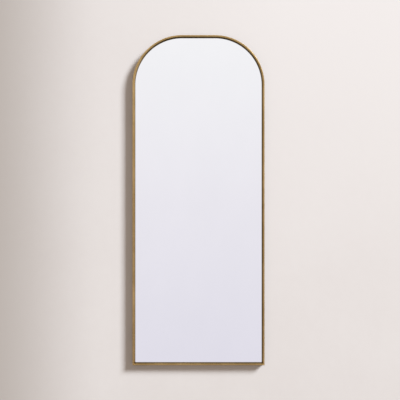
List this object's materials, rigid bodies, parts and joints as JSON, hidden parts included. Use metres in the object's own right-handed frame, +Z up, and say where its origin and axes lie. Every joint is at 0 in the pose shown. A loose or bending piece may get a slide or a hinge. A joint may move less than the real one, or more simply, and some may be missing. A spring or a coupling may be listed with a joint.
{
  "type": "arched wall mirror",
  "caption": "Tall wall mirror with an arched top in a slim brass-finished channel frame, hung on interlocking wall bars.",
  "frame": {"origin": "midpoint of the wall rail's line of screw holes, on the wall plane", "axes": "+X to the right as seen from the front, +Y into the wall, +Z up; the glass faces -Y"},
  "size_m": [0.6096, 0.038, 1.524],
  "materials": {
    "brass_anodised": "fine brushed, anodised in antique brass",
    "silvered_glass": "polished",
    "black_tape": "matt",
    "splinter_film": "woven film",
    "white_foam": "closed-cell foam",
    "fibre_board": "smooth fibre board",
    "black_rubber": "matt moulded",
    "spring_steel": "rolled strip",
    "mill_aluminium": "mill finish extrusion",
    "zinc_steel": "zinc plated",
    "black_steel": "black oxide"
  },
  "bodies": {
    "wall": {"wall_rail": "mill_aluminium"},
    "mirror": {"frame_arch": "brass_anodised", "bottom_rail": "brass_anodised", "corner_key_left": "zinc_steel", "corner_key_right": "zinc_steel", "corner_shim_left": "zinc_steel", "corner_shim_right": "zinc_steel", "corner_set_screws": "black_steel", "mirror_glass": "silvered_glass", "front_gasket": "black_tape", "safety_film": "splinter_film", "foam_sheet": "white_foam", "backing_board": "fibre_board", "edge_blocks": "black_rubber", "spring_clips": "spring_steel", "hanging_cleat": "mill_aluminium", "cleat_screws": "zinc_steel", "bumper_screws": "zinc_steel", "wall_bumper_left": "black_rubber", "wall_bumper_right": "black_rubber"}
  },
  "joints": [
    {"name": "lift_off", "type": "slide", "parent": "wall", "child": "mirror", "axis": [0, 0, 1], "range_m": [0, 0.014]}
  ]
}
